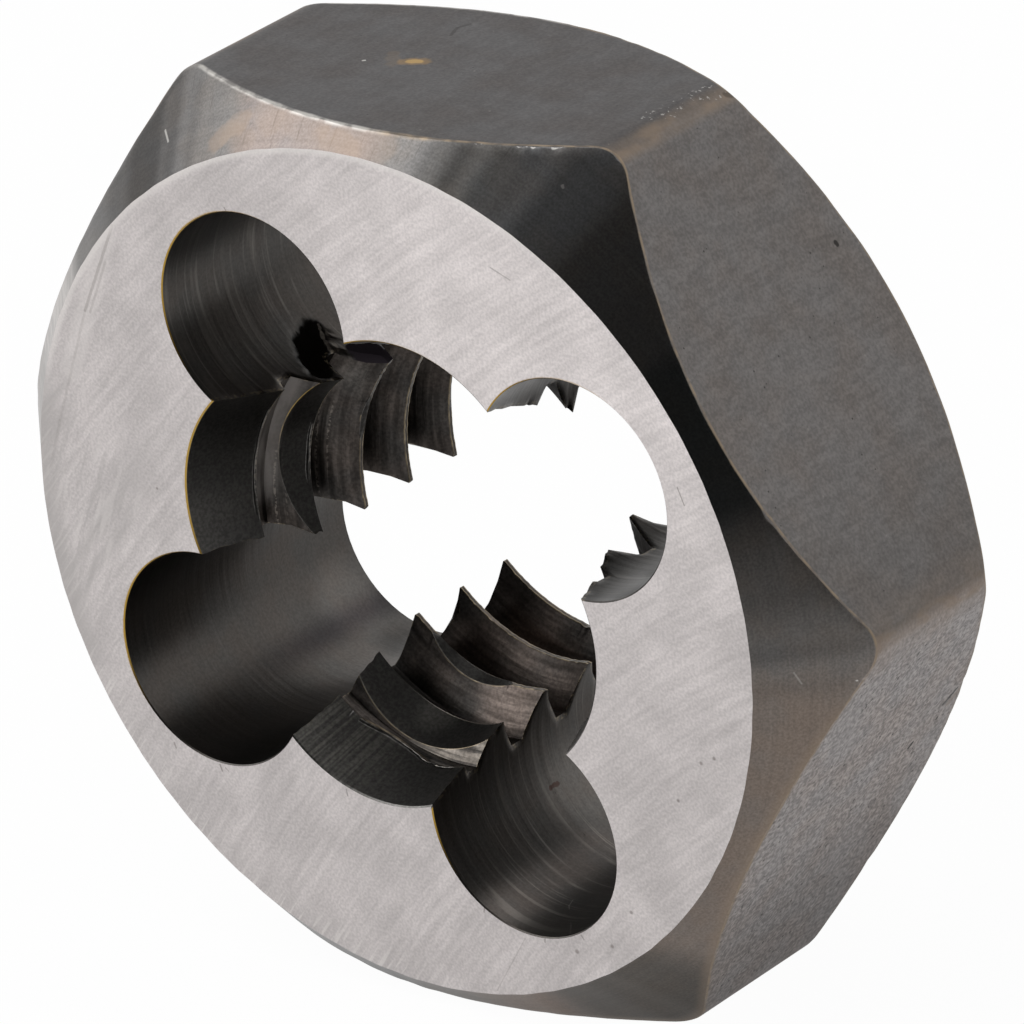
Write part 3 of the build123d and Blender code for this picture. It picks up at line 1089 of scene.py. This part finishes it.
# Painted shade: the torn pocket and a hollow beside it painted very dark and made neither metallic nor
# shiny
black = hole.blot(pocket_shade_balls, 0.40, 2.5, 0.12)
hollow = hole.blot(shaded_hollow_balls, 0.15, 4.0, 0.05)
hole.paint(pocket_painted_shade, black)
hole.paint(hollow_painted_shade, hollow)
for start, end, width, ragged, share, tone in hole_marks:
    hole.paint(tone, hole.scratch(start, end, width, ragged), share)
dull = hole.math("MAXIMUM", black, hollow)
hole.give("Metallic", hole.ramp(dull, 0.0, 1.0, 1.0, 0.0))
hole.give("Specular IOR Level", hole.ramp(dull, 0.0, 1.0, 0.5, 0.0))
edges_of_opening(hole)
hole.complete(hole.math("ADD", rings, hole.times(fine, 0.06)), 0.010)

# Thread and lead: cut with a tap that tore the steel along the helix, with the lead ground in after. Crests
# are rubbed bright under a painted highlight, torn edges and some flanks carry painted highlights and
# shade, and one root is painted lighter as if lit.
land_scale = (0.052, 0.048, 0.045)
land_brown = (0.066, 0.056, 0.050)
lead_steel = (0.138, 0.133, 0.127)
lead_ground = (0.27, 0.26, 0.235)
crest_wear_and_highlight = (0.33, 0.265, 0.17)
crest_straw = (0.50, 0.33, 0.07)
torn_highlight = (0.34, 0.30, 0.26)
torn_grey = (0.125, 0.12, 0.112)
root_painted_light = (0.155, 0.137, 0.125)
torn_brown = (0.126, 0.101, 0.088)
torn_shade = (0.012, 0.011, 0.010)
brown_flanks = [
    ((0.1, 5.1, -6.1), 1.9, 0.85),
    ((2.3, 4.6, -6.0), 1.6, 0.62),
    ((1.2, 7.3, -6.0), 1.9, 0.45),
    ((-1.2, 7.1, -5.9), 1.6, 0.70),
    ((-2.7, 6.6, -5.3), 1.3, 0.80),
    ((-2.2, 8.6, -5.5), 1.2, 0.60),
]
grey_flanks = [((-4.6, 4.2, 3.65), 0.9, 0.7), ((-5.0, 5.2, 2.9), 0.8, 0.3)]
flank_highlights = [
    ((0.3, 2.15, -6.1), 1.3, 0.33),
    ((1.3, 2.10, -6.0), 1.0, 0.31),
    ((-1.0, 2.30, -6.0), 0.9, 0.32),
]
torn_lines = [
    ((-6.45, 2.25, -0.6), (-5.7, 2.15, 2.6), 1.1, False),
    ((-5.75, 3.70, 1.9), (-6.1, 3.60, -0.6), 0.9, False),
    ((-2.8, 1.80, -5.75), (0.2, 1.80, -6.35), 0.9, True),
]
flank_tears = [
    ((-5.97, 2.76, 1.3), (-6.03, 2.68, -0.8), 0.5, 1.70),
    ((-6.20, 4.50, -0.3), (-5.80, 4.75, 2.1), 0.7, 3.60),
]
land_light_and_shade = [
    ((-0.7, 0.6, 6.45), 2.4, (0.36, 0.33, 0.30)),
    ((-5.6, 6.9, 1.2), 2.6, (0.80, 0.80, 0.80)),
    ((-5.5, 8.8, 0.2), 1.5, (0.82, 0.82, 0.82)),
    ((1.0, 6.4, -5.6), 1.8, (0.62, 0.62, 0.62)),
    ((-1.46, 3.2, -5.74), 0.9, (1.7, 1.7, 1.65)),
]
lit_root_strip = ((-6.3, 2.3, 0.5), (-5.1, 2.6, 3.6), 1.7)
root_middle = 1.43
ground_lead = ((-3.7, 0.9, -5.6), 3.0)
dull_crests = ((-6.1, 3.0, 0.0), 2.4)
straw_crests = ((-4.98, 2.92, 3.4), 2.0)

land = Finish("thread_land", 0.33)
across_thread = land.attribute("thread")


def along_helix(across, deep, detail):
    """Noise drawn out along the helix, by the distance across the thread."""
    return land.noise(land.stretched(across, land.times(across_thread, deep)), 1.0, detail)


tool_lines = along_helix(2.2, 11.0, 4.0)
tears = along_helix(5.0, 5.0, 3.0)
stripes = land.ramp(along_helix(2.2, 15.0, 2.0), 0.44, 0.56)
lead_lines = land.noise(land.stretched(62.0, land.times(land.depth, 0.3)), 1.0, 1.0)
specks = land.ramp(land.noise(land.place, 11.0, 1.0), 0.44, 0.58)
in_lead = land.ramp(land.attribute("lead"), -0.01, 0.02)
on_thread = land.math("SUBTRACT", 1.0, in_lead)
land.colour = land_scale
land.paint(land_brown, land.ramp(land.noise(land.place, 0.8, 3.0), 0.35, 0.65))
for point, reach, share in brown_flanks:
    land.paint(torn_brown, land.spot(point, reach, 0.8, 1.5), share)
land.shade(0.25, tool_lines, 0.36, 0.64)
for point, reach, share in grey_flanks:
    land.paint(torn_grey, land.spot(point, reach, 0.4, 2.0), share)
# Painted highlight: three flanks of the bottom land made bright in stripes
for point, reach, share in flank_highlights:
    land.paint(torn_highlight, land.spot(point, reach, 0.6, 1.5), stripes, share)
land.shade(0.18, tears, 0.38, 0.62)
ground_side = land.times(land.spot(*ground_lead), in_lead, land.ramp(land.depth, 2.7, 2.2))
ground_lines = land.times(ground_side, land.ramp(lead_lines, 0.40, 0.62), 0.75)
land.paint(land.blend(ground_lines, lead_steel, lead_ground), in_lead)
# Painted light and shade: the land made lighter or darker by place, darkest on the underside of the top
# land's lead
for point, reach, factors in land_light_and_shade:
    land.tint(factors, land.spot(point, reach))
land.shade(0.22, land.noise(land.place, 11.0, 3.0))

# Torn metal: a groove with painted shade beside a broken ridge with a painted highlight, along the creases
# of the thread and on two of its flanks
torn_parts = []
for start, end, width, only_in_lead in torn_lines:
    part = land.scratch(start, end, width)
    torn_parts.append(land.times(part, in_lead) if only_in_lead else part)
torn = land.chain("MAXIMUM", torn_parts)
swing = land.math("SUBTRACT", tears, 0.5)
wobble = land.times(swing, 0.04)
crease = land.math("ADD", land.attribute("edge"), land.times(swing, 0.20))
broken = land.ramp(along_helix(7.0, 2.5, 2.0), 0.42, 0.58, 0.15, 1.0)
grooves = land.line(crease, 0.085, 0.045)
ridges = land.times(land.line(crease, 0.01, 0.045), broken)
land.paint(torn_shade, torn, grooves, 0.8)
land.paint(torn_highlight, torn, ridges, specks, 0.85)
for start, end, width, middle in flank_tears:
    torn_flank = land.scratch(start, end, width)
    past = land.math("ADD", land.math("SUBTRACT", across_thread, middle), wobble)
    land.paint(torn_shade, torn_flank, land.line(past, 0.08, 0.05), 0.6)
    bright = land.math("MAXIMUM", land.line(past, 0.0, 0.022), land.line(past, 0.16, 0.018))
    land.paint(torn_highlight, torn_flank, bright, specks, 0.35)

# Painted light in one root of the left land, which is made lighter and less metallic, then the rubbed
# crests with their painted highlight, and the edges
root_side = land.ramp(land.math("ABSOLUTE", land.math("SUBTRACT", across_thread, root_middle)), 0.50, 0.12)
streaky = land.ramp(tears, 0.35, 0.6, 0.45, 0.85)
lit_root = land.times(land.scratch(*lit_root_strip, core=0.1), root_side, streaky)
land.paint(root_painted_light, lit_root)
land.give("Metallic", land.math("SUBTRACT", 1.0, lit_root))
# Painted highlight along the crests, over crests that are partly rubbed bright
crest = land.ramp(land.attribute("edge"), 0.04, 0.012)
dashes = land.ramp(along_helix(14.0, 2.0, 2.0), 0.4, 0.6, 0.35, 1.0)
crest_share = land.ramp(land.spot(*dull_crests), 0.0, 1.0, 0.6, 0.06)
crest_tone = land.blend(land.spot(*straw_crests), crest_wear_and_highlight, crest_straw)
land.paint(crest_tone, crest, dashes, on_thread, crest_share)
edges_of_opening(land)
tapped = land.times(land.math("ADD", tool_lines, tears), on_thread)
relief = land.math("ADD", tapped, land.times(lead_lines, ground_side))
raised = land.times(torn, land.math("SUBTRACT", ridges, grooves))
land.complete(land.math("ADD", relief, raised), 0.010)

# Camera: a long lens at the photograph's angle, tipped a little to one side
camera_place = Vector((157.2595, -183.2416, 118.0281)) * mm
long_lens, film_width = 343.6, 36
camera_turn, camera_rise, camera_roll = radians(40.55), radians(23.58), radians(-5.68)
camera_data = bpy.data.cameras.new("camera")
camera_data.lens = long_lens
camera_data.sensor_width = film_width
camera_data.clip_start, camera_data.clip_end = 0.01, 20
camera = put_in_scene("camera", camera_data)
camera.location = camera_place
camera.rotation_mode = "QUATERNION"
level = Euler((pi / 2 - camera_rise, 0, camera_turn)).to_quaternion()
camera.rotation_quaternion = level @ Euler((0, 0, camera_roll)).to_quaternion()
bpy.context.scene.camera = camera

# Studio: a white sweep, one soft lamp high on the left, and cards on a sphere about the die that
# only its mirror-like cones and hole walls see: one bright softbox and dark ones for the room.
room_light = 0.5
world = bpy.data.worlds.new("white_room")
world.use_nodes = True
bpy.context.scene.world = world
tree = world.node_tree
rays = add_node(tree, "LightPath").outputs
seen = {0: rays["Is Camera Ray"], 1: rays["Is Glossy Ray"]}
levels = {"To Min": room_light, "To Max": 1.0}
levels["Value"] = add_node(tree, "Math", seen, operation="MAXIMUM").outputs[0]
background = tree.nodes["Background"].inputs
give(tree, (1, 1, 1, 1), background["Color"])
give(tree, add_node(tree, "MapRange", levels).outputs[0], background["Strength"])


def studio_material(name):
    """Empty material, with its node tree and the input of its surface."""
    material = bpy.data.materials.new(name)
    material.use_nodes = True
    tree = material.node_tree
    tree.nodes.clear()
    return material, tree, add_node(tree, "OutputMaterial").inputs[0]


def studio_piece(name, points, faces, material):
    """Object of a plain mesh in one material."""
    mesh = bpy.data.meshes.new(name)
    mesh.from_pydata(points, [], faces)
    mesh.materials.append(material)
    return put_in_scene(name, mesh)


floor_half = 3.0
floor_white = (0.8, 0.8, 0.8, 1)
floor_glow = 0.97
mirrored_glow = 0.45
floor_material, tree, surface = studio_material("white_sweep")
diffuse = add_node(tree, "BsdfDiffuse", {"Color": floor_white}).outputs[0]
glow = add_node(tree, "Emission", {"Strength": 1.0}).outputs[0]
rays = add_node(tree, "LightPath").outputs
mirrored = {0: rays["Is Glossy Ray"], 1: mirrored_glow}
share = {0: rays["Is Camera Ray"], 1: floor_glow}
share[2] = add_node(tree, "Math", mirrored, operation="MULTIPLY").outputs[0]
mixed = {1: diffuse, 2: glow}
mixed[0] = add_node(tree, "Math", share, operation="MULTIPLY_ADD").outputs[0]
give(tree, add_node(tree, "MixShader", mixed).outputs[0], surface)
corner_signs = [(-1, -1), (1, -1), (1, 1), (-1, 1)]
floor_corners = [(x * floor_half, y * floor_half, 0) for x, y in corner_signs]
floor_object = studio_piece("floor", floor_corners, [(0, 1, 2, 3)], floor_material)

die_middle = Vector((0, 0, across_flats / 2 * mm))
lamp_data = bpy.data.lights.new("soft_lamp", "AREA")
lamp_data.size = 0.4
lamp_data.energy = 2.0
lamp = put_in_scene("soft_lamp", lamp_data)
lamp.location = (-0.25, -0.2, 0.45)
lamp.rotation_mode = "QUATERNION"
lamp.rotation_quaternion = (die_middle - lamp.location).to_track_quat("-Z", "Y")
lamp.visible_glossy = False


def card(name, points, faces, light):
    """Card with a light of its own, hidden from everything but mirrored rays."""
    material, tree, surface = studio_material(name)
    give(tree, add_node(tree, "Emission", {"Strength": light}).outputs[0], surface)
    piece = studio_piece(name, points, faces, material)
    piece.visible_camera = False
    piece.visible_diffuse = False
    piece.visible_shadow = False
    piece.visible_transmission = False


def round_card(name, bearing, height, light):
    """Card that is a patch of a sphere about the die, between two bearings from its right and two
    heights above its middle, in degrees."""
    distance, steps = 0.7, 12
    bearings, heights = (np.radians(np.linspace(*ends, steps)) for ends in (bearing, height))
    across, up = np.meshgrid(bearings, heights)
    points = [np.cos(up) * np.cos(across), np.cos(up) * np.sin(across), np.sin(up)]
    points = np.stack(points, -1) * distance + die_middle
    index = np.arange(steps * steps).reshape(steps, steps)
    faces = np.stack([index[:-1, :-1], index[:-1, 1:], index[1:, 1:], index[1:, :-1]], -1)
    card(name, points.reshape(-1, 3), faces.reshape(-1, 4), light)


round_card("softbox", (-178, -126), (18, 62), 2.7)
round_card("dark_room", (-112, -20), (-1, 66), 0.04)
round_card("dark_doorway", (168, 184), (2, 13), 0.05)
table_height = 0.0004
table_corners = [(0.030, -0.022), (0.055, -0.05), (0.10, -0.6), (0.9, -0.6), (0.9, -0.1), (0.06, -0.022)]
table_points = [(x, y, table_height) for x, y in table_corners]
card("dark_table", table_points, [tuple(range(len(table_points)))], 0.12)

view = bpy.context.scene.view_settings
view.view_transform = "Standard"
